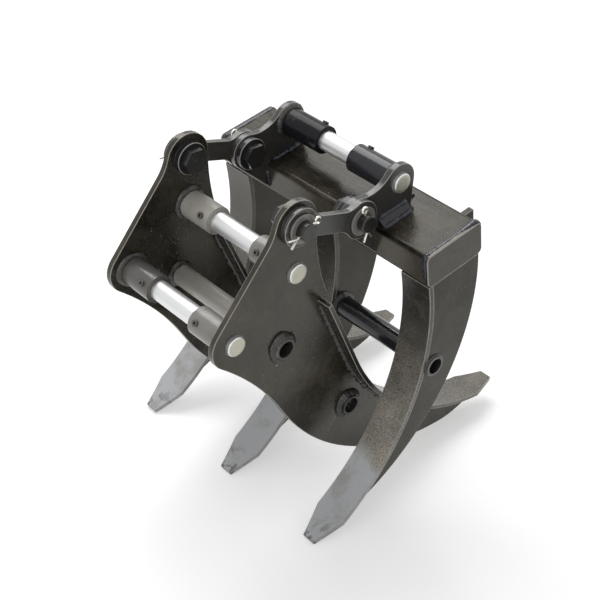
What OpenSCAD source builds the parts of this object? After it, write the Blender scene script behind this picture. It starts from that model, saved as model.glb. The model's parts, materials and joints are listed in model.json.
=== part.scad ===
// Mechanical log grapple for a small excavator, shown closed and standing on the ground.
// X runs towards the tips of the lower tines, Y is the pin direction, Z is up.
// The origin is on the ground, under the middle of the length and of the width.

/* [Machine pins] */
// Diameter of the three silver pins that join the grapple to the excavator
pin_d = 25; // [24:0.5:26]
// Radial running clearance round every pin
pin_clear = 0.06; // [0.03:0.01:0.09]
// How far a machine pin stands out of the outer face of its plate
pin_out = 5; // [3:0.5:8]
// Chamfer on the ends of the pins
pin_chamfer = 1.5; // [0.5:0.5:2.5]
// Outside diameter of the bosses that carry the machine pins
boss_d = 36; // [35:0.5:38]
// Free span of the two dipper pins, between their bosses
dipper_gap = 77; // [72:1:82]
// Free span of the bucket link pin, between its bosses
link_gap = 55; // [50:1:60]
// Gap between a bush on these pins and the boss beside it
bush_play = 0.5; // [0.3:0.1:1]
// Width of the grease grooves where the bush ends, at the mouths of the bosses
grease_groove_w = 1.2; // [1:0.1:1.6]
// Depth of these grooves
grease_groove_depth = 0.4; // [0.2:0.1:0.6]
// Thread diameter of the screws that lock the machine pins
lock_screw_d = 8; // [6:0.5:9]
// How far these screws stand out of their bosses
lock_screw_out = 2.5; // [1:0.5:4]
// Distance of the screws from the open ends of their bosses
lock_screw_in = 12; // [10:1:16]

/* [Places of the pivots] */
// Lower dipper pin, along X
arm_x = -223; // [-226:1:-220]
// Lower dipper pin, height
arm_z = 299.5; // [296.5:1:302.5]
// Upper dipper pin, along X
brace_x = -136.5; // [-139.5:1:-133.5]
// Upper dipper pin, height
brace_z = 362; // [359:1:365]
// Jaw end of the side links, along X
jaw_x = -140.5; // [-142.5:1:-138.5]
// Jaw end of the side links, height
jaw_z = 425.5; // [423.5:0.5:427.5]
// Rake end of the side links, along X
rake_x = -47; // [-49:1:-45]
// Rake end of the side links, height
rake_z = 402.5; // [400.5:1:404.5]
// Bucket link pin, along X
link_x = 20; // [18:0.5:22]
// Bucket link pin, height
link_z = 426; // [424:0.5:428]

/* [Side plates and ears] */
// Width over the outer faces of the side plates, and of the ears
body_w = 200; // [196:1:204]
// Thickness of the side plates and the ears
plate_t = 8; // [7:0.5:9]
// Corner radius of the side plate round the lower dipper pin
arm_lobe_r = 31; // [29:0.5:33]
// Radius of the side plate round the link pivot
jaw_lobe_r = 30; // [29:0.5:31]
// Radius of the hollow in the lower edge of the side plate
hollow_r = 410; // [390:5:430]
// Radius of the hollow in the upper front edge, below the link pivot
front_hollow_r = 60; // [55:1:65]
// Lean of the front edge from level
front_lean = 52.9; // [51.9:0.1:53.9]
// Radius of the hollow rear edge, between the link lobe and the lower tine
rear_r = 290; // [270:5:310]
// How far the shoulder at the foot of that edge stands out of the face of the lower tine
shoulder_out = 9; // [7:0.5:11]
// Radius of the ear round the bucket link pin
link_lobe_r = 23.5; // [22:0.5:25]
// Radius of the ear round the link pivot
rake_lobe_r = 23; // [21.5:0.5:24.5]
// Radius of the hollow between the two lobes of the ear
ear_hollow_r = 45; // [42:1:50]
// Leg of the three-sided bar along the foot of each ear
ear_foot = 10; // [8:0.5:12]
// Length of that bar along the crossbar
ear_foot_len = 46; // [42:1:50]

/* [Lower tines] */
// Width of every tine
tine_w = 46; // [43:1:48]
// Thickness of the bent face strip of every tine, which also forms its point
face_t = 6; // [5:0.5:7]
// Thickness of the web plates inside the rake tines
web_t = 6; // [5:0.5:7]
// Radius of the hollow face of the lower tines
jaw_arc_r = 311; // [308:0.5:314]
// Centre of that arc, along X
jaw_arc_x = 238; // [236:0.5:240]
// Height of the top of the flat points of the lower tines
jaw_tip_z = 35.5; // [33.5:0.5:37.5]
// Lean of the straight top of the lower tines from level
jaw_lean = 63; // [61:1:65]
// Length of the straight top of the lower tines
jaw_straight = 119; // [116:1:122]
// Radius of the nose that carries the belly up to the points of the lower tines
nose_r = 127; // [124:1:130]
// Radius of the belly of the side plates
belly_r = 350; // [340:1:360]
// Lowest place of the belly, along X
belly_x = 155; // [152:1:158]
// Place of the points of the lower tines, along X
jaw_tip_x = 254; // [250:1:258]
// Width of the blunt end of every point
tip_w = 18; // [15:1:22]
// Length over which every point narrows
tip_len = 42; // [38:1:46]

/* [Rake tines and crossbar] */
// Distance from one rake tine to the next
rake_pitch = 162; // [158:1:166]
// Radius of the hollow face of the rake tines
rake_arc_r = 286; // [280:1:292]
// Distance of that face from the front of the crossbar, where it meets the crossbar
rake_foot_in = 1.2; // [0.8:0.2:2]
// Angle on the arc at which it meets the crossbar
rake_foot_deg = 15.5; // [15:0.1:16]
// Radius of the back of the rake tines
rake_back_r = 275; // [270:1:280]
// Depth of the box of the rake tines, where it is deepest
rake_depth = 80; // [76:1:84]
// Angle on the arc at which it is deepest
rake_back_deg = 26.3; // [25.3:0.1:27.3]
// Angle on the arc at which the points of the rake end
rake_tip_deg = -61.6; // [-62.6:0.1:-60.6]
// Breadth of the crossbar
bar_w = 90; // [86:1:92]
// Height of the crossbar
bar_h = 45; // [42:1:48]
// Wall of the crossbar
bar_wall = 5; // [4:0.5:6]
// Outer corner radius of the crossbar
bar_r = 7; // [6:0.5:8]
// Centre of the crossbar, along X
bar_x = 33; // [31:1:35]
// Centre of the crossbar, height
bar_z = 364.5; // [363:0.5:366]
// Tilt of the crossbar
bar_tilt = 12.1; // [11.1:0.1:13.1]
// Thickness of the end caps of the crossbar
cap_t = 6; // [5:0.5:7]
// Thickness of the lugs behind the crossbar
lug_t = 8; // [6:0.5:9]
// Distance of the lugs from the middle of the crossbar
lug_y = 153; // [148:1:158]
// How far the lugs stand out behind the crossbar
lug_out = 17; // [14:1:20]
// Height of the lugs
lug_h = 22; // [18:1:26]

/* [Cross tubes] */
// Outside diameter of the cross tubes
tube_d = 27; // [26:0.5:28]
// Wall of the cross tubes
tube_wall = 3; // [2.5:0.25:3.5]
// How far the tubes stand out of the side plates
tube_out = 8; // [6:0.5:10]
// Upper tube of the body, along X
upper_tube_x = -151; // [-154:1:-148]
// Upper tube of the body, height
upper_tube_z = 266; // [263:1:269]
// Short tubes through the side plates, along X
lower_tube_x = -32; // [-34:0.5:-30]
// Short tubes through the side plates, height
lower_tube_z = 126; // [124:0.5:128]
// Tube through the rake tines, along X
rake_tube_x = 22; // [21:0.5:24]
// Tube through the rake tines, height
rake_tube_z = 211.5; // [209.5:1:213.5]

/* [Side links and their pins] */
// Diameter of the hinge pins of the side links
hinge_d = 22; // [20:0.5:23]
// Width across the flats of the six-sided heads of the hinge pins
hinge_head_w = 28; // [26:0.5:30]
// Thickness of the heads
hinge_head_t = 9; // [8:0.5:10]
// Diameter of the collar plates inside the side plates and ears
collar_d = 41; // [39:0.5:43]
// Thickness of the collar plates
collar_t = 8; // [6:0.5:10]
// Thickness of the side links
side_link_t = 8; // [7:0.5:9]
// Radius of the ends of the side links
side_link_r = 24; // [23:0.5:25]
// Height of the waist of the side links
side_link_waist = 25; // [23:0.5:28]
// Gap between a side link and the plates beside it
link_play = 0.5; // [0.4:0.1:1]
// Outside diameter of the washers
washer_d = 36; // [34:0.5:38]
// Thickness of the washers
washer_t = 2.5; // [2:0.5:3.5]
// Length of a hinge pin past its washer
hinge_tail = 10; // [9:0.5:12]
// Wire diameter of the split pins
split_d = 3.2; // [2.5:0.1:4]

/* [Welds] */
// Leg of the weld rings
weld_leg = 5; // [4:0.5:6]
// Gap left between a weld ring and the round part inside it
weld_gap = 0.04; // [0.02:0.01:0.08]

/* [Hidden] */

// Places in the side view, as [along X, height]
arm = [arm_x, arm_z];
brace = [brace_x, brace_z];
jaw = [jaw_x, jaw_z];
rake = [rake_x, rake_z];
link = [link_x, link_z];
upper_tube = [upper_tube_x, upper_tube_z];
lower_tube = [lower_tube_x, lower_tube_z];
rake_tube = [rake_tube_x, rake_tube_z];
bar = [bar_x, bar_z];
belly = [belly_x, belly_r];
nose = [belly_x, nose_r];
jaw_arc = [jaw_arc_x, jaw_tip_z + jaw_arc_r];

// Places across the width
plate_out = body_w / 2;
plate_in = plate_out - plate_t;
jaw_tine_y = plate_out - plate_t / 2;
bar_half = rake_pitch + tine_w / 2;
link_in = plate_out + link_play;
washer_in = link_in + side_link_t + link_play;
washer_out = washer_in + washer_t;
hinge_end = washer_out + hinge_tail;
hinge_head_y = plate_in - collar_t - hinge_head_t;

// Radii of the bores, and of the holes that tubes are welded into
pin_bore_r = pin_d / 2 + pin_clear;
hinge_bore_r = hinge_d / 2 + pin_clear;
tube_r = tube_d / 2;
tube_hole_r = tube_r + weld_gap;

// Split pins: where they cross the hinge pins, and how they lie
split_y = washer_out + hinge_tail * 0.35;
split_reach = hinge_d / 2 + split_d;
split_eye_r = split_d * 1.1;
jaw_split_turn = 26;
rake_split_turn = 103;
split_spread = 28;

// Screws in the bosses: the direction in which each one points
arm_screw_turn = 151;
brace_screw_turn = 156;
link_screw_turn = 58;

// Points on a long arc, points on a short one, sides of a round bore, sides of a bent tine
long = 24;
short = 12;
fine = 72;
bent = 240;
// Longer than anything that it has to cut
far = 1000;
// Width of a sharp edge that would else have none
land = 0.5;

// Colours of the real finish
paint = [0.07, 0.07, 0.075];
zinc = [0.78, 0.79, 0.80];

// A unit vector at an angle, and the angle of a vector from a up to a turn more
function unit(a) = [cos(a), sin(a)];
function turn(v, a = -180) = atan2(v[1], v[0]) < a ? atan2(v[1], v[0]) + 360 : atan2(v[1], v[0]);
// Points along the arc of radius r round c, from angle a to angle b
function arc(c, r, a, b, n = short) = [for (i = [0:n]) c + r * unit(a + (b - a) * i / n)];
// Where two circles cross, on the left (1) or the right (-1) of the way from c to d
function crossing(c, r, d, s, side) =
  let (l = norm(d - c), u = (d - c) / l)
  let (a = (l * l + r * r - s * s) / (2 * l))
  c + a * u + side * sqrt(r * r - a * a) * [-u[1], u[0]];

// Extrudes a side view across the width, from y to y + t
module across(y, t) {
  translate([0, y + t, 0]) rotate([90, 0, 0]) linear_extrude(t) children();
}

// Keeps a part on the left, where y is positive, or mirrors it to the right
module on_side(side) {
  if (side > 0) children();
  else mirror([0, 1, 0]) children();
}

// A round place in a side view
module spot(place, r, sides = fine) {
  translate(place) circle(r = r, $fn = sides);
}

// The part of a side view between two directions from c, less than half a turn apart
module wedge(c, a, b) {
  intersection() {
    polygon([c, c + far * unit(a), c + 2 * far * unit((a + b) / 2), c + far * unit(b)]);
    children();
  }
}

// A round sleeve across the width
module sleeve(place, y, length, r, bore_r) {
  across(y, length) difference() {
    spot(place, r);
    spot(place, bore_r);
  }
}

// A turned part on a pivot: its profile gives [radius, y]
module turned(place, profile) {
  translate([place[0], 0, place[1]]) rotate([-90, 0, 0]) rotate_extrude($fn = fine) polygon(profile);
}

// A three-sided weld ring round a part of radius r, on the face at y, towards way
module weld_ring(place, r, y, way) {
  turned(place, [
    [r + weld_gap, y],
    [r + weld_leg, y],
    [r + weld_leg, y + way * land],
    [r + weld_gap + land, y + way * weld_leg],
    [r + weld_gap, y + way * weld_leg]
  ]);
}

// Side plate. Its front edge leans, and meets the link lobe in a hollow.
front_run = unit(front_lean);
front_normal = unit(front_lean + 90);
front_start = arm + arm_lobe_r * front_normal;
front_gap = front_hollow_r - (jaw - front_start) * front_normal;
front_back = sqrt(pow(jaw_lobe_r + front_hollow_r, 2) - front_gap * front_gap);
front_hollow = front_start + ((jaw - front_start) * front_run - front_back) * front_run
  + front_hollow_r * front_normal;
hollow = crossing(arm, arm_lobe_r + hollow_r, belly, belly_r + hollow_r, -1);
// The lower tine is a strip that is straight at the top, then bends round to the flat point
jaw_bend = 270 - jaw_lean;
face_out = unit(jaw_bend);
back_top = jaw_arc + (jaw_arc_r + face_t) * face_out + jaw_straight * unit(180 - jaw_lean);
face_top = back_top - face_t * face_out;
// The hollow rear edge starts on a shoulder above the tine and ends on the link lobe
shoulder = face_top - shoulder_out * face_out;
rear = crossing(jaw, rear_r + jaw_lobe_r, shoulder, rear_r, 1);
// The side plate reaches along its back as far as the nose. Both share the same points there.
nose_end = crossing(nose, nose_r, jaw_arc, jaw_arc_r + face_t, -1);
strip_end = turn(nose_end - jaw_arc, 0);
strip_back = arc(jaw_arc, jaw_arc_r + face_t, strip_end, jaw_bend, long);

module plate_outline() {
  polygon(concat(
    arc(jaw, jaw_lobe_r, turn(rear - jaw), turn(front_hollow - jaw, 0)),
    arc(front_hollow, front_hollow_r, turn(jaw - front_hollow), front_lean - 90),
    arc(arm, arm_lobe_r, front_lean + 90, turn(hollow - arm, 0)),
    arc(hollow, hollow_r, turn(arm - hollow), turn(belly - hollow)),
    arc(belly, belly_r, turn(hollow - belly, 0), 270, long),
    arc(nose, nose_r, 270, turn(nose_end - nose, 0)),
    strip_back,
    [back_top],
    arc(rear, rear_r, turn(shoulder - rear, 0), turn(jaw - rear, 0))
  ));
}

module side_plate(side) {
  color(paint) on_side(side) across(plate_in, plate_t) difference() {
    plate_outline();
    spot(arm, pin_bore_r);
    spot(brace, pin_bore_r);
    spot(jaw, hinge_bore_r);
    spot(upper_tube, tube_hole_r);
    spot(lower_tube, tube_hole_r);
  }
}

module lower_tine_outline() {
  polygon(concat(
    [[jaw_tip_x, jaw_tip_z], [jaw_tip_x, jaw_tip_z - face_t]],
    arc(jaw_arc, jaw_arc_r + face_t, 270, strip_end, 2),
    strip_back,
    [back_top, face_top],
    arc(jaw_arc, jaw_arc_r, jaw_bend, 270, long)
  ));
}

// Cuts a tine to its tapered point, seen from above: the tip is at x = 0 and runs back to -far
module point_plan() {
  polygon([
    [0, -tip_w / 2],
    [0, tip_w / 2],
    [-tip_len, tine_w / 2],
    [-far, tine_w / 2],
    [-far, -tine_w / 2],
    [-tip_len, -tine_w / 2]
  ]);
}

module lower_tine(side) {
  color(paint) on_side(side) intersection() {
    across(jaw_tine_y - tine_w / 2, tine_w) lower_tine_outline();
    translate([jaw_tip_x, jaw_tine_y, 0]) linear_extrude(far) point_plan();
  }
}

// Cross tubes
module upper_cross_tube() {
  color(paint) sleeve(upper_tube, -plate_out - tube_out, body_w + 2 * tube_out, tube_r, tube_r - tube_wall);
}

module lower_short_tubes() {
  color(paint) on_both_sides()
    sleeve(lower_tube, plate_in - tube_out, plate_t + 2 * tube_out, tube_r, tube_r - tube_wall);
}

module rake_cross_tube() {
  end = bar_half + tube_out / 2;
  color(paint) sleeve(rake_tube, -end, 2 * end, tube_r, tube_r - tube_wall);
}

// Bosses, each with the hole for its locking screw. The part at y > 0 is the left one.
module boss(place, side, gap, screw_turn) {
  color(paint) on_side(side) difference() {
    sleeve(place, gap / 2, plate_in - gap / 2, boss_d / 2, pin_bore_r);
    screw_at(place, gap, screw_turn) cylinder(d = lock_screw_d + 2 * weld_gap, h = boss_d, $fn = fine);
  }
}

module screw_at(place, gap, screw_turn) {
  translate([place[0], gap / 2 + lock_screw_in, place[1]]) rotate([0, 90 - screw_turn, 0]) children();
}

// A screw with a six-sided socket, short of the machine pin
module lock_screw(place, gap, screw_turn) {
  bottom = pin_bore_r + land;
  top = boss_d / 2 + lock_screw_out;
  screw_at(place, gap, screw_turn) difference() {
    translate([0, 0, bottom]) cylinder(d = lock_screw_d, h = top - bottom, $fn = fine);
    translate([0, 0, top - lock_screw_d / 2]) cylinder(d = lock_screw_d / 2, h = lock_screw_d, $fn = 6);
  }
}

module jaw_lock_screws() {
  color(zinc) {
    for (side = [-1, 1]) on_side(side) {
      lock_screw(arm, dipper_gap, arm_screw_turn);
      lock_screw(brace, dipper_gap, brace_screw_turn);
    }
  }
}

module rake_lock_screws() {
  color(zinc) for (side = [-1, 1]) on_side(side) lock_screw(link, link_gap, link_screw_turn);
}

// A machine pin, which slides out across the width. A bush as wide as gap turns between its grooves.
module machine_pin(place, gap) {
  end = plate_out + pin_out;
  r = pin_d / 2;
  inner = gap / 2 - bush_play;
  outer = inner + grease_groove_w;
  half = [
    [r, inner],
    [r - grease_groove_depth, inner],
    [r - grease_groove_depth, outer],
    [r, outer],
    [r, end - pin_chamfer],
    [r - pin_chamfer, end],
    [0, end]
  ];
  color(zinc) turned(place, concat([for (i = [len(half) - 1:-1:0]) [half[i][0], -half[i][1]]], half));
}

// Hinge pin with its six-sided head inside the plate, and the cross hole for the split pin
module hinge_pin(place, split_turn) {
  r = hinge_d / 2;
  across(hinge_head_y, hinge_head_t) spot(place, hinge_head_w / 2 / cos(30), 6);
  difference() {
    turned(place, [
      [0, hinge_head_y + hinge_head_t],
      [r, hinge_head_y + hinge_head_t],
      [r, hinge_end - pin_chamfer],
      [r - pin_chamfer, hinge_end],
      [0, hinge_end]
    ]);
    split_at(place, split_turn) translate([0, 0, -far / 2])
      cylinder(d = split_d + 2 * weld_gap, h = far, $fn = fine);
  }
}

module split_at(place, split_turn) {
  translate([place[0], split_y, place[1]]) rotate([0, 90 - split_turn, 0]) children();
}

// Split pin: a rod through the hinge pin, an eye at one end and two spread legs at the other
module split_pin(place, split_turn) {
  wire_r = split_d / 4;
  split_at(place, split_turn) {
    translate([0, 0, -split_reach]) cylinder(d = split_d, h = 2 * split_reach, $fn = fine);
    translate([0, 0, split_reach + split_eye_r]) rotate([90, 0, 0])
      rotate_extrude($fn = fine) translate([split_eye_r, 0]) circle(r = wire_r, $fn = fine);
    for (s = [-1, 1]) translate([s * wire_r, 0, -split_reach]) rotate([0, 180 - s * split_spread, 0])
      translate([0, 0, -wire_r]) cylinder(r = wire_r, h = hinge_d / 2 + wire_r, $fn = fine);
  }
}

module on_both_sides() {
  for (side = [-1, 1]) on_side(side) children();
}

module collars(place) {
  color(paint) on_both_sides()
    sleeve(place, plate_in - collar_t, collar_t, collar_d / 2, hinge_bore_r);
}

module washers(place) {
  color(paint) on_both_sides() sleeve(place, washer_in, washer_t, washer_d / 2, hinge_bore_r);
}

// Side link, drawn along its own length and then laid between its two pivots
module side_link(side) {
  length = norm(rake - jaw);
  fillet_r = side_link_r;
  waist = side_link_waist / 2;
  throat = sqrt(pow(side_link_r + fillet_r, 2) - pow(waist + fillet_r, 2));
  lean = turn([throat, waist + fillet_r]);
  half = concat(
    arc([0, 0], side_link_r, 180, lean, long),
    arc([throat, waist + fillet_r], fillet_r, lean + 180, 270),
    arc([length - throat, waist + fillet_r], fillet_r, 270, 360 - lean),
    arc([length, 0], side_link_r, 180 - lean, 0, long)
  );
  color(paint) on_side(side) across(link_in, side_link_t) difference() {
    translate(jaw) rotate(turn(rake - jaw))
      polygon(concat(half, [for (i = [len(half) - 2:-1:1]) [half[i][0], -half[i][1]]]));
    spot(jaw, hinge_bore_r);
    spot(rake, hinge_bore_r);
  }
}

// Crossbar: a tube with round corners, drawn in its own tilted axes
module on_bar() {
  translate(bar) rotate(bar_tilt) children();
}

module bar_outline(shrink = 0) {
  w = bar_w - 2 * shrink;
  h = bar_h - 2 * shrink;
  r = bar_r - shrink;
  on_bar() {
    square([w - 2 * r, h], center = true);
    square([w, h - 2 * r], center = true);
    for (x = [-1, 1], z = [-1, 1])
      translate([x * (w / 2 - r), z * (h / 2 - r)]) circle(r = r, $fn = fine);
  }
}

module crossbar() {
  color(paint) across(cap_t - bar_half, 2 * (bar_half - cap_t)) difference() {
    bar_outline();
    bar_outline(bar_wall);
  }
}

module crossbar_cap(side) {
  color(paint) on_side(side) across(bar_half - cap_t, cap_t) bar_outline();
}

module crossbar_lugs() {
  color(paint) on_both_sides() across(lug_y - lug_t / 2, lug_t) on_bar()
    translate([bar_w / 2, bar_h / 2 - bar_r - lug_h]) polygon([
      [0, 0],
      [lug_out - bar_r, 0],
      [lug_out, bar_r],
      [lug_out, lug_h],
      [0, lug_h]
    ]);
}

// Ear: two lobes with a hollow between them, and a foot cut out round the crossbar
ear_hollow = crossing(rake, rake_lobe_r + ear_hollow_r, link, link_lobe_r + ear_hollow_r, 1);
ear_heel = bar - (bar_w / 2) * unit(bar_tilt) - (bar_h / 2 - bar_r) * unit(bar_tilt + 90);
ear_under = turn(ear_heel - rake) - acos(rake_lobe_r / norm(ear_heel - rake)) + 360;

module ear(side) {
  color(paint) on_side(side) across(plate_in, plate_t) difference() {
    polygon(concat(
      arc(link, link_lobe_r, 0, turn(ear_hollow - link)),
      arc(ear_hollow, ear_hollow_r, turn(link - ear_hollow), turn(rake - ear_hollow)),
      arc(rake, rake_lobe_r, turn(ear_hollow - rake), ear_under),
      [ear_heel, bar, [link_x + link_lobe_r, bar_z]]
    ));
    bar_outline();
    spot(link, pin_bore_r);
    spot(rake, hinge_bore_r);
  }
}

// Bars in the corner between the outer face of each ear and the crossbar
module ear_foot_bars() {
  color(paint) on_both_sides() translate([bar_x, plate_out, bar_z]) rotate([0, -bar_tilt, 0])
    translate([-bar_w / 2 + bar_r, 0, bar_h / 2]) rotate([90, 0, 90]) linear_extrude(ear_foot_len)
      polygon([[0, 0], [ear_foot, 0], [ear_foot, land], [land, ear_foot], [0, ear_foot]]);
}

// Rake tines: face strip, two webs and back strip, all ending under the crossbar
rake_foot = bar + (rake_foot_in - bar_w / 2) * unit(bar_tilt) - (bar_h / 2) * unit(bar_tilt + 90);
rake_arc = rake_foot - rake_arc_r * unit(rake_foot_deg);
rake_back = rake_arc + (rake_arc_r + face_t + rake_depth - rake_back_r) * unit(rake_back_deg);

module under_bar() {
  difference() {
    children();
    on_bar() translate([-far / 2, -bar_h / 2]) square(far);
  }
}

module rake_face_outline() {
  under_bar() wedge(rake_arc, rake_tip_deg, 60) difference() {
    spot(rake_arc, rake_arc_r + face_t, bent);
    spot(rake_arc, rake_arc_r, bent);
  }
}

module rake_box_outline(t = 0) {
  under_bar() difference() {
    spot(rake_back, rake_back_r - t, bent);
    spot(rake_arc, rake_arc_r + face_t, bent);
  }
}

module rake_tine_face(place) {
  tip = rake_arc + rake_arc_r * unit(rake_tip_deg);
  color(paint) translate([0, place * rake_pitch, 0]) intersection() {
    across(-tine_w / 2, tine_w) rake_face_outline();
    translate([tip[0], 0, tip[1]]) rotate([0, 90 - rake_tip_deg, 0]) translate([0, 0, -far / 2])
      linear_extrude(far) point_plan();
  }
}

module rake_tine_webs(place) {
  color(paint) for (y = [-tine_w / 2, tine_w / 2 - web_t])
    across(place * rake_pitch + y, web_t) difference() {
      rake_box_outline();
      spot(rake_tube, tube_hole_r);
    }
}

module rake_tine_back(place) {
  color(paint) across(place * rake_pitch - tine_w / 2 + web_t, tine_w - 2 * web_t) difference() {
    rake_box_outline();
    rake_box_outline(face_t);
  }
}

// Weld rings round tubes and bosses
module jaw_weld_rings() {
  color(paint) on_both_sides() {
    weld_ring(upper_tube, tube_r, plate_out, 1);
    weld_ring(upper_tube, tube_r, plate_in, -1);
    weld_ring(lower_tube, tube_r, plate_out, 1);
    weld_ring(arm, boss_d / 2, plate_in, -1);
    weld_ring(brace, boss_d / 2, plate_in, -1);
  }
}

module rake_weld_rings() {
  color(paint) on_both_sides() {
    weld_ring(link, boss_d / 2, plate_in, -1);
    weld_ring(rake_tube, tube_r, rake_pitch - tine_w / 2, -1);
    weld_ring(rake_tube, tube_r, tine_w / 2, 1);
  }
}

side_plate(1);  // side_plate_left
side_plate(-1);  // side_plate_right
lower_tine(1);  // lower_tine_left
lower_tine(-1);  // lower_tine_right
upper_cross_tube();
lower_short_tubes();
boss(arm, 1, dipper_gap, arm_screw_turn);  // arm_boss_left
boss(arm, -1, dipper_gap, arm_screw_turn);  // arm_boss_right
boss(brace, 1, dipper_gap, brace_screw_turn);  // brace_boss_left
boss(brace, -1, dipper_gap, brace_screw_turn);  // brace_boss_right
collars(jaw);  // jaw_collars
color(paint) on_both_sides() hinge_pin(jaw, jaw_split_turn);  // jaw_hinge_pins
washers(jaw);  // jaw_washers
color(zinc) on_both_sides() split_pin(jaw, jaw_split_turn);  // jaw_split_pins
jaw_lock_screws();
jaw_weld_rings();
machine_pin(arm, dipper_gap);  // arm_pin
machine_pin(brace, dipper_gap);  // brace_pin
machine_pin(link, link_gap);  // bucket_link_pin
side_link(1);  // side_link_left
side_link(-1);  // side_link_right
crossbar();
crossbar_cap(1);  // crossbar_cap_left
crossbar_cap(-1);  // crossbar_cap_right
crossbar_lugs();
ear(1);  // ear_left
ear(-1);  // ear_right
ear_foot_bars();
boss(link, 1, link_gap, link_screw_turn);  // ear_boss_left
boss(link, -1, link_gap, link_screw_turn);  // ear_boss_right
rake_tine_face(1);  // rake_tine_face_left
rake_tine_face(0);  // rake_tine_face_middle
rake_tine_face(-1);  // rake_tine_face_right
rake_tine_webs(1);  // rake_tine_webs_left
rake_tine_webs(0);  // rake_tine_webs_middle
rake_tine_webs(-1);  // rake_tine_webs_right
rake_tine_back(1);  // rake_tine_back_left
rake_tine_back(0);  // rake_tine_back_middle
rake_tine_back(-1);  // rake_tine_back_right
rake_cross_tube();
collars(rake);  // rake_collars
color(paint) on_both_sides() hinge_pin(rake, rake_split_turn);  // rake_hinge_pins
washers(rake);  // rake_washers
color(zinc) on_both_sides() split_pin(rake, rake_split_turn);  // rake_split_pins
rake_lock_screws();
rake_weld_rings();
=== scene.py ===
"""Mechanical log grapple: enamel, worn edges, welds, split pins, pins and studio stage."""
import json
import math

import bmesh
import bpy
import numpy as np
from bpy.props import FloatProperty, FloatVectorProperty, IntProperty, PointerProperty
from mathutils import Matrix, Vector

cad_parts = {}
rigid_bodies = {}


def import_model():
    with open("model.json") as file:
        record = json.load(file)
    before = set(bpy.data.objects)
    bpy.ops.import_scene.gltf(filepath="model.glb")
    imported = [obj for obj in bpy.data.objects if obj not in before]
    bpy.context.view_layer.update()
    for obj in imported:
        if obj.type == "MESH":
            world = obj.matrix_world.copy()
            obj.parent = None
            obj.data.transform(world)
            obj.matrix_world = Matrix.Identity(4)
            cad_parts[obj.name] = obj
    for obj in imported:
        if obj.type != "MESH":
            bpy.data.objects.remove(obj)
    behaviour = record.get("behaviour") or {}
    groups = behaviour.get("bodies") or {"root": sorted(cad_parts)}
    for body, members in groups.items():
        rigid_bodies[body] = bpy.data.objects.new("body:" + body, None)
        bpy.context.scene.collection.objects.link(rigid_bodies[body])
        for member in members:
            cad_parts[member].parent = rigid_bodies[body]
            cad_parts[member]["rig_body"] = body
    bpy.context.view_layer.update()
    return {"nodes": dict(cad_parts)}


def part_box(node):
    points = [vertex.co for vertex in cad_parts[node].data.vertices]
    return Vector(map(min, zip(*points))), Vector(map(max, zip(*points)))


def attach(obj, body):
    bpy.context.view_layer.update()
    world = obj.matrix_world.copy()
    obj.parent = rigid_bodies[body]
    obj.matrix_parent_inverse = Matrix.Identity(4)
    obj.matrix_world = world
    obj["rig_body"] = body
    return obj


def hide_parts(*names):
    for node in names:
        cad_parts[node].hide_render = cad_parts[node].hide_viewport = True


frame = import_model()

bl_info = {
    "name": "Log grapple",
    "version": (1, 0, 0),
    "blender": (4, 5, 0),
    "location": "3D View > Sidebar > Grapple",
    "description": "Finishes, welds, pins and stage of a mechanical log grapple",
    "category": "Object",
}

NODES = frame["nodes"]
MM = 0.001

# Places in the side view, in millimetres: along X and height, as the construction has them
ARM, BRACE, LINK = (-223.0, 299.5), (-136.5, 362.0), (20.0, 426.0)
JAW, RAKE = (-140.5, 425.5), (-47.0, 402.5)
UPPER_TUBE, LOWER_TUBE, RAKE_TUBE = (-151.0, 266.0), (-32.0, 126.0), (22.0, 211.5)
BAR, BAR_W, BAR_H, BAR_TILT = (33.0, 364.5), 90.0, 45.0, math.radians(12.1)
BAR_CORNER, CAP_SEAM_Y, CAP_LEG, LUG_Y, LUG_HALF = 7.0, 179.0, 4.8, 153.0, 4.0
FOOT_BACK, FOOT_FRONT, FOOT_SIZE = -38.0, 8.0, 9.5
PLATE_OUT, PLATE_IN = 100.0, 92.0
RAKE_PITCH, TINE_W = 162.0, 46.0
JAW_ARC, JAW_ARC_R, JAW_LEAN, JAW_STRAIGHT = (238.0, 346.5), 317.0, 63.0, 119.0
NOSE, NOSE_R = (155.0, 127.0), 127.0
BOSS_R, TUBE_R, PIN_R = 18.0, 13.5, 12.5
DIPPER_GAP, LINK_GAP, BUSH_PLAY = 77.0, 55.0, 0.5
SPLIT_Y, SPLIT_REACH = 115.0, 14.2
SPLIT_TURNS = {"jaw": 26.0, "rake": 103.0}

# Ends of the weld seams in the crossbar's own axes, in millimetres: along the bar or up its sides, and the
# length of the one across the front of a foot bar
EAR_SEAM, EAR_BACK_SEAM, TINE_SEAM, LUG_SEAM, FOOT_FRONT_SEAM = (-36, 30), (-13, 13), (-36, 34), (-2, 13), 11

# Profile of a machine pin, in millimetres: depth under its surface, and way past the bush or before the end
PIN_GROOVE = ((0.4, 0.1), (0.4, 1.1), (0.0, 1.2))
PIN_ROUNDING = ((0.0, 1.5), (0.25, 1.0), (1.2, 0.12), (1.5, 0.0))
PIN_FACE_R, PIN_AXIS_R, PIN_FACE_SUNK, PIN_COAT_FROM = 8.0, 0.05, 0.05, 0.11

# Widths of the rounding on the small pieces, in metres
CAP_EDGE, BOSS_EDGE, THIN_EDGE, SCREW_EDGE = 0.0012, 0.0008, 0.0006, 0.0004
# Angles in degrees: past them an edge of a plate is rounded, and the shading of a pin or a wire breaks
ROUNDED_PAST, PIN_CREASE, WIRE_CREASE = 32, 24, 50

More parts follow.
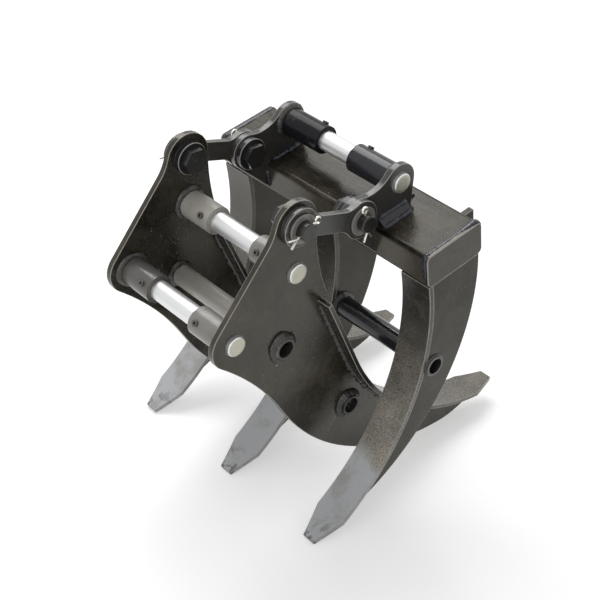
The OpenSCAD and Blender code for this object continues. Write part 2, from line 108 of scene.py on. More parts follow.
# Coats of enamel: name, colour, cover and scale of the grime, roughness where clean and where grimy, height
# of the waves and of the orange peel, and what only some coats have
COATS = (
    ("plate_enamel", (0.009, 0.0078, 0.0048), 0.60, 17.0, (0.10, 0.36), 0.24, 2.0, {"warm": 1.0}),
    ("link_enamel", (0.050, 0.049, 0.046), 0.40, 30.0, (0.16, 0.36), 0.2, 1.4, {}),
    # The light tan streak patches of the crossbar coat are painted reflections along its top.
    ("bar_enamel", (0.006, 0.0055, 0.0048), 0.50, 20.0, (0.10, 0.40), 0.3, 1.8,
     {"shine": 0.16, "warm": 0.8, "reflection_streaks": ((110.0, 6.0, 60.0), (0.150, 0.132, 0.103))}),
    # The front faces of the crossbar are a lighter tan: dust, and painted light on that side.
    ("bar_front_enamel", (0.062, 0.052, 0.038), 0.50, 26.0, (0.20, 0.42), 0.3, 1.8,
     {"shine": 0.3, "warm": 0.8}),
    # The blue in the coats of the crossbar seams and of the foot bars is a painted sky reflection.
    ("sky_tinted_seam_enamel", (0.016, 0.018, 0.032), 0.34, 110.0, (0.16, 0.38), 0.6, 3.0, {}),
    ("foot_enamel", (0.010, 0.011, 0.018), 0.30, 60.0, (0.16, 0.36), 1.2, 3.0, {}),
    # The tan of the boss coat is dust with a painted highlight on the black enamel. The three coats after it
    # are painted lit, shaded and deeply shaded copies of it for single bosses.
    ("boss_enamel", (0.24, 0.23, 0.212), 0.45, 44.0, (0.26, 0.45), 0.25, 1.4, {}),
    ("dusty_boss_enamel", (0.42, 0.40, 0.365), 0.40, 44.0, (0.26, 0.45), 0.25, 1.4, {}),
    ("oily_boss_enamel", (0.11, 0.106, 0.10), 0.50, 44.0, (0.20, 0.45), 0.25, 1.4, {}),
    ("dark_boss_enamel", (0.012, 0.0125, 0.015), 0.30, 44.0, (0.14, 0.34), 0.25, 1.0, {"shine": 0.12}),
    ("link_boss_enamel", (0.020, 0.021, 0.026), 0.34, 44.0, (0.16, 0.36), 0.25, 1.0, {"shine": 0.35}),
    # The pale tan of the upper cross tube is dust with painted light: it stands for the sunlit look of a
    # black tube.
    ("tube_enamel", (0.46, 0.44, 0.40), 0.40, 30.0, (0.26, 0.42), 0.25, 1.0, {}),
    ("rake_tube_enamel", (0.020, 0.021, 0.026), 0.42, 26.0, (0.16, 0.40), 0.25, 1.0, {}),
    ("web_enamel", (0.012, 0.0095, 0.006), 0.50, 15.0, (0.12, 0.36), 0.2, 1.4,
     {"sand": (-0.05, 0.34, 0.05, -1.0), "shine": 0.30, "warm": 1.0}),
    ("face_enamel", (0.018, 0.0165, 0.014), 0.40, 30.0, (0.22, 0.5), 0.3, 1.8,
     {"sand": (0.0, 0.37, 0.88, 0.088), "warm": 0.8}),
    ("jaw_tine_enamel", (0.020, 0.019, 0.016), 0.42, 26.0, (0.18, 0.45), 0.3, 1.6,
     {"sand": (-0.05, 0.19, 0.60, 0.02), "warm": 0.6}),
    # The jaw lock screws take a tone close to the bosses, painted highlight included.
    ("boss_screw_enamel", (0.105, 0.10, 0.09), 0.45, 90.0, (0.26, 0.45), 0.1, 1.0, {}),
    ("grit", (0.50, 0.48, 0.44), 0.2, 300.0, (0.5, 0.7), 0.1, 1.0, {}),
)

# Specks of dust: two corners of their field in the side view, or in the crossbar's own axes, and their
# number. Those on the jaw begin with their distance from the middle.
JAW_SPECKS = ((PLATE_IN, (-205, 270), (-120, 350), 60), (-PLATE_OUT, (-215, 215), (-90, 300), 22))
BAR_SPECKS = (((-36, 112), (40, 184), 46), ((-40, -60), (-20, 90), 40))
TINE_SPECKS = ((8, 290), (62, 338), 30)
SCRATCH, SCRATCH_DOTS = ((-51.4, 111.8), (-66.5, 90.1)), 22
CHIPS, CHIP_R = ((-51.4, 111.8), (-156.9, 242.2), (-158.3, 241.0)), (0.9, 1.1, 0.8)

# The stage, in metres: the camera fitted to the photo, the lamps (name, place, width, depth and share of the
# key power), and the tones of the floor and the world
LENS, SENSOR = 80.33, 36.0
CAMERA_PLACE = (-1.00434, -1.00359, 1.17732)
CAMERA_RIGHT = (0.74409736, -0.66538324, 0.05986865)
CAMERA_UP = (0.33853508, 0.45279968, 0.82484329)
CAMERA_AIM = (0.57594541, 0.59349608, -0.56218261)
LAMPS = (("key", (0.35, 1.05, 2.05), 1.5, 1.3, 1.0), ("side", (-2.0, -0.4, 1.1), 1.3, 1.0, 0.28))
LAMP_AIM = (0.0, 0.0, 0.22)
FLOOR_HALF, FLOOR_GREY, FLOOR_GLOW, WORLD_FILL = 6, 0.80, 0.42, 0.42


# Settings

class GrappleSettings(bpy.types.PropertyGroup):
    """The colours, sizes, seed and lamp power that a user would change"""
    enamel: FloatVectorProperty(
        name="Enamel", description="Colour of the enamel on the welds and the screws", subtype="COLOR",
        size=3, min=0.0, max=1.0, default=(0.013, 0.0125, 0.012))
    grime: FloatVectorProperty(
        name="Grime", description="Colour of the dust and grime on the enamel", subtype="COLOR",
        size=3, min=0.0, max=1.0, default=(0.105, 0.092, 0.072))
    # The edges are lighter from wear and from a painted highlight along them.
    rubbed: FloatVectorProperty(
        name="Rubbed edges", description="Colour of the edges, where the enamel is rubbed",
        subtype="COLOR", size=3, min=0.0, max=1.0, default=(0.40, 0.385, 0.355))
    blasted: FloatVectorProperty(
        name="Sanded faces", description="Colour of the sandy faces of the tines",
        subtype="COLOR", size=3, min=0.0, max=1.0, default=(0.63, 0.58, 0.505))
    # The colour of a painted sheen on the lowest parts of the tines, which stands for a reflection of the
    # sky.
    painted_sheen: FloatVectorProperty(
        name="Rubbed points", description="Colour of the points, which the ground has rubbed smooth",
        subtype="COLOR", size=3, min=0.0, max=1.0, default=(0.47, 0.482, 0.50))
    steel: FloatVectorProperty(
        name="Pin steel", description="Colour of the machine pins", subtype="COLOR",
        size=3, min=0.0, max=1.0, default=(0.80, 0.81, 0.81))
    edge: FloatProperty(
        name="Edge rounding", description="Width of the rounding on the plate edges",
        subtype="DISTANCE", unit="LENGTH", min=0.0003, max=0.002, default=0.0008)
    bead: FloatProperty(
        name="Weld leg", description="Leg of the weld beads", subtype="DISTANCE",
        unit="LENGTH", min=0.002, max=0.007, default=0.0046)
    wire: FloatProperty(
        name="Split pin", description="Diameter of the split pins in their holes",
        subtype="DISTANCE", unit="LENGTH", min=0.002, max=0.004, default=0.0032)
    seed: IntProperty(name="Seed", description="Seed of the weld ripples and spatter", default=7)
    key: FloatProperty(
        name="Key lamp", description="Power of the soft box above and behind", unit="POWER",
        min=0.0, max=200.0, default=30.0)


def settings():
    """The sizes and colours that the panel shows."""
    return bpy.context.scene.grapple


# Mesh tools

def side_point(place, y):
    """A place of the side view at a distance y from the middle, in metres: along X, y and height."""
    return np.array([place[0], y, place[1]]) * MM


def bar_point(along, up, y):
    """A place in the crossbar's own axes, in metres: its middle plus along and up, turned by its tilt."""
    c, s = math.cos(BAR_TILT), math.sin(BAR_TILT)
    return np.array([BAR[0] + along * c - up * s, y, BAR[1] + along * s + up * c]) * MM


BAR_ALONG = np.array([math.cos(BAR_TILT), 0.0, math.sin(BAR_TILT)])
BAR_UP = np.array([-math.sin(BAR_TILT), 0.0, math.cos(BAR_TILT)])
ACROSS = np.array([0.0, 1.0, 0.0])


def grid_quads(rows, cols, wrap_rows, wrap_cols):
    """Corner numbers of the quads of a grid: each joins (i, j), (i, j+1), (i+1, j+1), (i+1, j)."""
    i = np.arange(rows if wrap_rows else rows - 1)[:, None]
    j = np.arange(cols if wrap_cols else cols - 1)[None, :]
    k, m = (i + 1) % rows, (j + 1) % cols
    return np.stack([i * cols + j, i * cols + m, k * cols + m, k * cols + j], -1).reshape(-1, 4)


def add_piece(name, points, faces, body, material):
    """A smooth mesh object from points and faces, with its faces turned outwards, that rides on a body."""
    mesh = bpy.data.meshes.new(name)
    mesh.from_pydata(np.asarray(points).reshape(-1, 3).tolist(), [], [list(f) for f in faces])
    bm = bmesh.new()
    bm.from_mesh(mesh)
    bmesh.ops.remove_doubles(bm, verts=bm.verts, dist=1e-6)
    bmesh.ops.recalc_face_normals(bm, faces=bm.faces)
    bm.to_mesh(mesh)
    bm.free()
    mesh.polygons.foreach_set("use_smooth", np.ones(len(mesh.polygons), bool))
    mesh.materials.append(bpy.data.materials[material])
    piece = bpy.data.objects.new(name, mesh)
    bpy.context.scene.collection.objects.link(piece)
    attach(piece, body)
    return piece


def swept(sections, closed):
    """Points and faces of a tube: a closed profile on each row, joined row to row. An open one is capped."""
    rows, cols = sections.shape[:2]
    faces = grid_quads(rows, cols, closed, True).tolist()
    if not closed:
        faces += [list(range(cols)), list(range((rows - 1) * cols, rows * cols))]
    return sections.reshape(-1, 3), faces


def joined(parts):
    """One list of points and faces from many, with the corner numbers moved on."""
    points, faces, start = [], [], 0
    for p, f in parts:
        points.append(p)
        faces += [[c + start for c in face] for face in f]
        start += len(p)
    return np.concatenate(points), faces


def wander(s, rng, waves):
    """Smooth noise along a length, about -1 to 1: a sum of sines of these wave lengths with seeded phases."""
    phase = rng.uniform(0, 2 * math.pi, len(waves))
    amount = rng.uniform(0.5, 1.0, len(waves))
    return sum(a * np.sin(2 * math.pi * s / w + p) for w, a, p in zip(waves, amount, phase)) / len(waves)


def bead(path, out_a, out_b, leg, rng, closed=False, ripple=0.0021, lumps=0.16, taper=0.004):
    """A fillet weld in the corner between two faces. At each point of the path the profile runs from the
    foot on face A to the foot on face B as an arc that bulges a little, then back through the root. Its leg
    grows and shrinks with slow lumps and with crescents, one each ripple and each of its own strength, that
    lag in the middle of the bead. An open bead tapers off at both ends."""
    path, out_a, out_b = (np.asarray(v, float) for v in (path, out_a, out_b))
    step = np.linalg.norm(np.diff(path, axis=0), axis=1)
    length = step.sum() + (np.linalg.norm(path[0] - path[-1]) if closed else 0.0)
    count = max(8, int(length / (ripple / 4)))
    if closed:
        path, out_a, out_b = (np.vstack([v, v[:1]]) for v in (path, out_a, out_b))
        step = np.linalg.norm(np.diff(path, axis=0), axis=1)
        ripple = length / max(1, round(length / ripple))
    run = np.concatenate([[0], np.cumsum(step)])
    s = np.linspace(0, length, count, endpoint=not closed)
    root, a, b = (np.stack([np.interp(s, run, v[:, k]) for k in range(3)], -1)
                  for v in (path, out_a, out_b))
    turn = np.linspace(0, math.pi / 2, 9)[None, :]
    lag = 0.35 * ripple * np.sin(2 * turn)
    beat = (s[:, None] - lag) / ripple
    strength = rng.uniform(0.3, 1.5, int(length / ripple) + 2)
    crescent = np.abs(np.sin(math.pi * beat)) ** 0.7 * strength[np.floor(beat).astype(int) % len(strength)]
    waves = [length / k for k in (2, 3, 5)] if closed else [0.047, 0.019, 0.011]
    size = leg * (1 + lumps * wander(s, rng, waves))[:, None] * (0.90 + 0.12 * crescent)
    if not closed:
        end = np.clip(np.minimum(s, length - s) / taper, 0.02, 1)[:, None]
        size = size * np.sqrt(end)
    fat = size * (0.80 + 0.12 * np.sin(2 * turn) + 0.20 * (1 - np.sin(2 * turn)))
    outward = np.cos(turn)[..., None] * a[:, None] + np.sin(turn)[..., None] * b[:, None]
    arc = root[:, None] + fat[..., None] * outward
    sections = np.concatenate([arc, root[:, None] - 0.0003 * (a + b)[:, None]], axis=1)
    return swept(sections, closed)


def ring_path(place, radius, y, way, count=120):
    """Path and the two outward directions for a bead round a tube on the face at y: a circle of its radius,
    the direction away from its axis, and the way out of the face."""
    t = np.linspace(0, 2 * math.pi, count, endpoint=False)
    out = np.stack([np.cos(t), np.zeros(count), np.sin(t)], -1)
    path = side_point(place, y) + out * radius * MM
    return path, out, np.tile([0.0, float(way), 0.0], (count, 1))


def straight_path(start, end, out_a, out_b, count=40):
    """A straight path in even steps from start to end, with the same two directions at each point."""
    t = np.linspace(0, 1, count)[:, None]
    return start * (1 - t) + end * t, np.tile(out_a, (count, 1)), np.tile(out_b, (count, 1))


def seam(start, end, out_a, out_b, leg, rng, lumps=0.3, **look):
    """A straight weld between two places given in the crossbar's own axes."""
    path = straight_path(bar_point(*start), bar_point(*end), out_a, out_b)
    return bead(*path, leg, rng, lumps=lumps, **look)


def domes(centres, normal, radii, rng, rise=0.6):
    """Small drops on a flat face: half a ball on each, stretched along the face and as high as rise times its
    radius, on rows of latitude."""
    u = np.linspace(0, 2 * math.pi, 8, endpoint=False)
    v = np.linspace(0.0, math.pi / 2, 4)[:-1]
    normal = np.asarray(normal, float)
    side = np.cross(normal, [0.0, 0.0, 1.0]) if abs(normal[2]) < 0.9 else np.array([1.0, 0.0, 0.0])
    side /= np.linalg.norm(side)
    up = np.cross(normal, side)
    stretch = rng.uniform(0.75, 1.3, (len(centres), 1, 1, 1))
    ring = np.cos(u)[:, None] * side + np.sin(u)[:, None] * up
    flat = np.cos(v)[:, None, None] * ring * stretch
    shape = flat + rise * np.sin(v)[:, None, None] * normal
    rings = centres[:, None, None] + shape * radii[:, None, None, None]
    tops = centres + rise * radii[:, None] * normal
    last, top = (len(v) - 1) * len(u), len(v) * len(u)
    fan = [[last + k, last + (k + 1) % len(u), top] for k in range(len(u))]
    faces = grid_quads(len(v), len(u), False, True).tolist() + fan + [list(range(len(u)))]
    return joined([(np.vstack([rows.reshape(-1, 3), tip]), faces) for rows, tip in zip(rings, tops)])


def turned(place, profile, sides=96):
    """A turned part: its profile of radius and place along Y, in millimetres, goes evenly round the axis."""
    t = np.linspace(0, 2 * math.pi, sides, endpoint=False)
    r, y = np.array(profile, float).T
    points = np.stack([place[0] + r[:, None] * np.cos(t), np.tile(y[:, None], (1, sides)),
                       place[1] + r[:, None] * np.sin(t)], -1) * MM
    rows = len(profile)
    faces = grid_quads(rows, sides, False, True).tolist()
    faces += [list(range(sides)), list(range((rows - 1) * sides, rows * sides))]
    return points.reshape(-1, 3), faces


def dressed(name, materials, width=None):
    """A copy of a CAD node with its doubles merged, its flat faces joined and its edges rounded. The rounding
    takes the second material."""
    source = NODES[name]
    mesh = bpy.data.meshes.new("dressed_" + name)
    bm = bmesh.new()
    bm.from_mesh(source.data)
    bmesh.ops.remove_doubles(bm, verts=bm.verts, dist=3e-6)
    bmesh.ops.dissolve_limit(bm, angle_limit=math.radians(0.4), verts=bm.verts, edges=bm.edges)
    bm.to_mesh(mesh)
    bm.free()
    mesh.polygons.foreach_set("use_smooth", np.ones(len(mesh.polygons), bool))
    mesh.materials.clear()
    for m in materials:
        mesh.materials.append(bpy.data.materials[m])
    mesh.polygons.foreach_set("material_index", np.zeros(len(mesh.polygons), np.int32))
    piece = bpy.data.objects.new("dressed_" + name, mesh)
    bpy.context.scene.collection.objects.link(piece)
    rounding = piece.modifiers.new("Edge rounding", "BEVEL")
    rounding.width = settings().edge if width is None else width
    rounding.segments = 2
    rounding.limit_method = "ANGLE"
    rounding.angle_limit = math.radians(ROUNDED_PAST)
    rounding.use_clamp_overlap = True
    rounding.material = len(materials) - 1
    shading = piece.modifiers.new("Flat faces", "WEIGHTED_NORMAL")
    shading.mode = "FACE_AREA"
    shading.weight = 90
    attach(piece, source["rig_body"])
    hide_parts(name)
    return piece


def of_faces(piece, what):
    """The centre or the normal of each face, one row each."""
    values = np.empty(len(piece.data.polygons) * 3)
    piece.data.polygons.foreach_get(what, values)
    return values.reshape(-1, 3)


def coat_faces(piece, chosen):
    """Give the chosen faces the second material of the piece, and the others the first."""
    piece.data.polygons.foreach_set("material_index", chosen.astype(np.int32))


# Material tools

def add_node(tree, kind, values=None, **options):
    """A shader node with its options and its inputs, each a plain value or the socket that feeds it."""
    node = tree.nodes.new(kind)
    for key, value in options.items():
        setattr(node, key, value)
    for key, value in (values or {}).items():
        if isinstance(value, bpy.types.NodeSocket):
            tree.links.new(value, node.inputs[key])
        else:
            node.inputs[key].default_value = value
    return node


def calc(tree, operation, *values, clamp=False):
    """The result of a Math node."""
    node = add_node(tree, "ShaderNodeMath", dict(enumerate(values)), operation=operation, use_clamp=clamp)
    return node.outputs[0]


def noise(tree, place, scale, detail, roughness, distortion=0.0):
    """The value of a noise at a place."""
    values = {"Vector": place, "Scale": scale, "Detail": detail, "Roughness": roughness,
              "Distortion": distortion}
    return add_node(tree, "ShaderNodeTexNoise", values).outputs["Fac"]


def ramp(tree, value, low, high, first=0.0, last=1.0, **options):
    """A value carried over evenly, from low and high to first and last, and held at these."""
    values = {"Value": value, "From Min": low, "From Max": high, "To Min": first, "To Max": last}
    return add_node(tree, "ShaderNodeMapRange", values, clamp=True, **options).outputs["Result"]


def bump(tree, height, distance, **values):
    """The normal of a height in the given distance, on a flat face or on another normal."""
    values.update(Strength=1.0, Distance=distance, Height=height)
    return add_node(tree, "ShaderNodeBump", values).outputs["Normal"]


def tint(tree, mask, low, high):
    """A colour that goes from low to high with a mask. Each is a colour or a colour socket."""
    low, high = (v if isinstance(v, bpy.types.NodeSocket) else (*v, 1.0) for v in (low, high))
    return add_node(tree, "ShaderNodeMix", {"Factor": mask, 6: low, 7: high}, data_type="RGBA").outputs[2]


def between(tree, mask, low, high):
    """A value that goes from low to high with a mask."""
    return ramp(tree, mask, 0.0, 1.0, low, high)


def new_group(name, inputs, outputs):
    """An empty shader node group. An input is a vector where its value is none or has three numbers."""
    tree = bpy.data.node_groups.new(name, "ShaderNodeTree")
    for label, value in inputs.items():
        kind = "NodeSocketFloat" if isinstance(value, float) else "NodeSocketVector"
        socket = tree.interface.new_socket(label, in_out="INPUT", socket_type=kind)
        if value is not None:
            socket.default_value = value
    for label in outputs:
        kind = "NodeSocketVector" if label == "Normal" else "NodeSocketFloat"
        tree.interface.new_socket(label, in_out="OUTPUT", socket_type=kind)
    return tree, tree.nodes.new("NodeGroupInput").outputs, tree.nodes.new("NodeGroupOutput").inputs


def make_grime_group():
    """Grime: broad clouds broken up by finer ones, as a mask from 0 to 1."""
    tree, given, result = new_group("Grime", {"Vector": None, "Scale": 18.0, "Cover": 0.5}, ["Mask"])
    broad = noise(tree, given["Vector"], given["Scale"], 5.0, 0.62, 0.6)
    fine = noise(tree, given["Vector"], calc(tree, "MULTIPLY", given["Scale"], 7.0), 4.0, 0.7)
    reach = ramp(tree, broad, calc(tree, "SUBTRACT", 0.92, given["Cover"]), 0.85)
    broken = ramp(tree, fine, 0.3, 0.7, 0.45)
    tree.links.new(calc(tree, "MULTIPLY", reach, broken, clamp=True), result["Mask"])


def make_ripple_group():
    """Ripple: slow waves of a hand-painted plate with fine orange peel on them, as a normal."""
    inputs = {"Vector": None, "Waves": 30.0, "Peel": 420.0, "Wave height": 1.0, "Peel height": 1.0}
    tree, given, result = new_group("Ripple", inputs, ["Normal"])
    slow = noise(tree, given["Vector"], given["Waves"], 2.0, 0.45)
    fast = noise(tree, given["Vector"], given["Peel"], 3.0, 0.6)
    waves = bump(tree, calc(tree, "MULTIPLY", slow, given["Wave height"]), 0.0016)
    peel = bump(tree, calc(tree, "MULTIPLY", fast, given["Peel height"]), 0.00012, Normal=waves)
    tree.links.new(peel, result["Normal"])


def make_sand_group():
    """Sand: more towards the ground, in grains and in soft clouds, as a mask from 0 to 1. A second mask gives
    the lowest part, which carries a painted sheen that stands for a reflection, and a third the chips at the
    points."""
    inputs = {"Vector": None, "Bottom": 0.05, "Top": 0.35, "Rubbed below": 0.1, "Grains": 620.0}
    tree, given, result = new_group("Sand", inputs, ["Mask", "Rubbed", "Chips"])
    place = given["Vector"]
    height = add_node(tree, "ShaderNodeSeparateXYZ", {0: place}).outputs["Z"]
    fall = ramp(tree, height, given["Bottom"], given["Top"], 1.0, 0.0, interpolation_type="SMOOTHSTEP")
    grain = ramp(tree, noise(tree, place, given["Grains"], 2.0, 0.8), 0.38, 0.60, 0.25)
    clouds = noise(tree, place, 26.0, 4.0, 0.6)
    cloud = ramp(tree, clouds, 0.3, 0.68, 0.55)
    # The lowest part, up to a wavy level, takes the painted sheen.
    level = calc(tree, "ADD", calc(tree, "MULTIPLY_ADD", clouds, 0.06, -0.03), height)
    rubbed = ramp(tree, calc(tree, "SUBTRACT", level, given["Rubbed below"]), -0.006, 0.006, 1.0, 0.0)
    blotch = ramp(tree, clouds, 0.36, 0.5, 0.55)
    flake = ramp(tree, noise(tree, place, 75.0, 5.0, 0.65), 0.54, 0.60)
    near = ramp(tree, height, 0.004, 0.028, 0.8, 0.0)
    sandy = calc(tree, "MULTIPLY", fall, grain)
    for name, one, other in (("Mask", sandy, cloud), ("Rubbed", rubbed, blotch), ("Chips", flake, near)):
        tree.links.new(calc(tree, "MULTIPLY", one, other, clamp=True), result[name])


def make_drawn_group():
    """Drawn marks: noise stretched by a factor along each axis, as a mask from 0 to 1 and as a normal."""
    inputs = {"Vector": None, "Stretch": (14.0, 900.0, 14.0), "Depth": 1.0}
    tree, given, result = new_group("Drawn marks", inputs, ["Mask", "Normal"])
    values = {0: given["Vector"], 1: given["Stretch"]}
    stretched = add_node(tree, "ShaderNodeVectorMath", values, operation="MULTIPLY").outputs[0]
    marks = noise(tree, stretched, 1.0, 3.0, 0.7)
    tree.links.new(ramp(tree, marks, 0.3, 0.7), result["Mask"])
    tree.links.new(bump(tree, calc(tree, "MULTIPLY", marks, given["Depth"]), 0.00003), result["Normal"])


def new_material(name):
    """The tree of a new material, the inputs of its shader, and a way to place groups in it, which use its
    Object coordinates."""
    material = bpy.data.materials.new(name)
    material.use_nodes = True
    tree = material.node_tree
    place = tree.nodes.new("ShaderNodeTexCoord").outputs["Object"]

    def put(group, **values):
        """The outputs of a group, with its values by the names of its sockets."""
        node = add_node(tree, "ShaderNodeGroup", node_tree=bpy.data.node_groups[group])
        for key, value in values.items():
            node.inputs[key.replace("_", " ")].default_value = value
        tree.links.new(place, node.inputs["Vector"])
        return node.outputs

    return tree, tree.nodes["Principled BSDF"].inputs, put


def enamel(name, coat, cover, scale, rough, waves, peel=1.0, sand=None, shine=0.5, reflection_streaks=None, warm=0.0):
    """A coat of enamel with clouds of grime. Sand, given as bottom, top, strength and the height below which
    it carries a painted sheen that stands for a reflection, greys it near the ground. Streaks, given as a
    stretch and a colour, are painted reflections that run along the piece in patches. Shine is the strength
    of its reflections, and warm their yellow tint."""
    s = settings()
    tree, shader, put = new_material(name)
    shader["Specular IOR Level"].default_value = shine
    shader["Specular Tint"].default_value = (1.0, 1.0 - 0.05 * warm, 1.0 - 0.20 * warm, 1.0)
    dirt = put("Grime", Scale=scale, Cover=cover)["Mask"]
    colour = tint(tree, dirt, coat, s.grime)
    roughness = between(tree, dirt, *rough)
    # Streak patches along the piece: painted reflections.
    if reflection_streaks:
        marks = put("Drawn marks", Stretch=reflection_streaks[0], Depth=1.0)["Mask"]
        patches = put("Grime", Scale=9.0, Cover=0.64)["Mask"]
        colour = tint(tree, calc(tree, "MULTIPLY", marks, patches), colour, reflection_streaks[1])
    if sand:
        bottom, top, strength, sheen_below = sand
        grit = put("Sand", Bottom=bottom, Top=top, Rubbed_below=sheen_below)
        share = calc(tree, "MULTIPLY", grit["Mask"], strength)
        colour = tint(tree, share, colour, s.blasted)
        # The lowest part takes the colour of the painted sheen, a painted reflection.
        colour = tint(tree, grit["Rubbed"], colour, s.painted_sheen)
        colour = tint(tree, grit["Chips"], colour, coat)
        sandy = calc(tree, "MAXIMUM", between(tree, share, rough[0], 0.60), roughness)
        values = {0: grit["Rubbed"], 2: sandy, 3: 0.34}
        roughness = add_node(tree, "ShaderNodeMix", values, data_type="FLOAT").outputs[0]
    tree.links.new(roughness, shader["Roughness"])
    tree.links.new(colour, shader["Base Color"])
    tree.links.new(put("Ripple", Wave_height=waves, Peel_height=peel)["Normal"], shader["Normal"])


def bare_metal(name, colour, stain, rough, stretch, depth):
    """Bare steel with turning marks and faint stains."""
    tree, shader, put = new_material(name)
    shader["Metallic"].default_value = 1.0
    marks = put("Drawn marks", Stretch=stretch, Depth=depth)
    dirt = put("Grime", Scale=40.0, Cover=0.34)["Mask"]
    clean = tint(tree, marks["Mask"], tuple(0.86 * c for c in colour), colour)
    tree.links.new(tint(tree, dirt, clean, stain), shader["Base Color"])
    tree.links.new(between(tree, marks["Mask"], rough - 0.07, rough + 0.12), shader["Roughness"])
    tree.links.new(marks["Normal"], shader["Normal"])


# Operators

class GRAPPLE_OT_finishes(bpy.types.Operator):
    """Make the shader groups and the materials"""
    bl_idname = "grapple.finishes"
    bl_label = "Finishes"

    def execute(self, context):
        s = settings()
        make_grime_group()
        make_ripple_group()
        make_sand_group()
        make_drawn_group()
        for name, *look, more in COATS:
            enamel(name, *look, **more)
        # The worn edges are lighter from wear and from a painted highlight along them.
        for name, colour, share, *look in (
                ("rubbed_edge", s.rubbed, 1.0, 0.52, 70.0, (0.22, 0.45), 0.2),
                ("weld_enamel", s.enamel, 2.4, 0.58, 110.0, (0.22, 0.48), 0.4, 2.5),
                ("screw_enamel", s.enamel, 1.7, 0.30, 90.0, (0.22, 0.42), 0.1)):
            enamel(name, tuple(share * c for c in colour), *look)
        bare_metal("pin_steel", tuple(s.steel), (0.50, 0.50, 0.47), 0.40, (60.0, 700.0, 60.0), 3.0)
        bare_metal("pin_end_steel", (0.52, 0.51, 0.43), (0.30, 0.28, 0.20), 0.42, (420.0, 420.0, 420.0), 3.0)
        bare_metal("split_wire", (0.82, 0.80, 0.74), (0.34, 0.31, 0.26), 0.30, (260.0, 260.0, 260.0), 0.6)
        return {"FINISHED"}


class GRAPPLE_OT_plates(bpy.types.Operator):
    """Round and paint the side plates, ears, side links, lugs and foot bars"""
    bl_idname = "grapple.plates"
    bl_label = "Plates"

    def execute(self, context):
        for name in ("side_plate_left", "side_plate_right"):
            dressed(name, ["plate_enamel", "rubbed_edge"])
        for name in ("ear_left", "ear_right", "side_link_left", "side_link_right"):
            dressed(name, ["link_enamel", "rubbed_edge"])
        dressed("crossbar_lugs", ["bar_enamel", "rubbed_edge"])
        # The foot bars take the coat with the painted sky reflection.
        dressed("ear_foot_bars", ["foot_enamel"])
        return {"FINISHED"}


class GRAPPLE_OT_tines(bpy.types.Operator):
    """Round and paint the lower tines and the rake tines"""
    bl_idname = "grapple.tines"
    bl_label = "Tines"

    def execute(self, context):
        for side in ("left", "right"):
            dressed("lower_tine_" + side, ["jaw_tine_enamel", "rubbed_edge"])
        for place in ("left", "middle", "right"):
            dressed("rake_tine_face_" + place, ["face_enamel", "rubbed_edge"])
            dressed("rake_tine_webs_" + place, ["web_enamel", "rubbed_edge"])
            dressed("rake_tine_back_" + place, ["web_enamel", "rubbed_edge"], width=THIN_EDGE)
        return {"FINISHED"}


class GRAPPLE_OT_bar(bpy.types.Operator):
    """Paint the crossbar and its end caps"""
    bl_idname = "grapple.bar"
    bl_label = "Crossbar"

    def execute(self, context):
        bar = dressed("crossbar", ["bar_enamel", "bar_front_enamel", "rubbed_edge"], width=THIN_EDGE)
        # The faces that look to the front take the lighter tan coat: dust, and painted light on that side.
        coat_faces(bar, of_faces(bar, "normal") @ BAR_ALONG < -0.9)
        for side in ("left", "right"):
            dressed("crossbar_cap_" + side, ["plate_enamel", "rubbed_edge"], width=CAP_EDGE)
        return {"FINISHED"}


class GRAPPLE_OT_tubes(bpy.types.Operator):
    """Round and paint the cross tubes, bosses, collars and washers"""
    bl_idname = "grapple.tubes"
    bl_label = "Tubes and bosses"

    def execute(self, context):
        # The tube takes the pale tan coat with its painted light; its ends and bore keep the dark weld
        # enamel.
        upper = dressed("upper_cross_tube", ["tube_enamel", "weld_enamel"], width=THIN_EDGE)
        x, y, z = of_faces(upper, "center").T / MM
        ends, bore = PLATE_OUT + 7.0, TUBE_R - 1.5
        coat_faces(upper, (np.abs(y) > ends) | (np.hypot(x - UPPER_TUBE[0], z - UPPER_TUBE[1]) < bore))
        dressed("lower_short_tubes", ["screw_enamel", "weld_enamel"], width=THIN_EDGE)
        dressed("rake_cross_tube", ["rake_tube_enamel", "rubbed_edge"], width=THIN_EDGE)
        # Single bosses take painted lit and shaded copies of the boss coat. The washers take the boss coat
        # with its painted highlight.
        for name, coat in (("arm_boss_left", "oily_"), ("brace_boss_left", "dusty_"),
                           ("ear_boss_left", "dark_"), ("ear_boss_right", "link_"), ("jaw_collars", "link_"),
                           ("rake_collars", "link_"), ("arm_boss_right", ""), ("brace_boss_right", "")):
            dressed(name, [coat + "boss_enamel", "rubbed_edge"], width=BOSS_EDGE)
        for name in ("jaw_washers", "rake_washers"):
            dressed(name, ["boss_enamel", "rubbed_edge"], width=SCREW_EDGE)
        return {"FINISHED"}


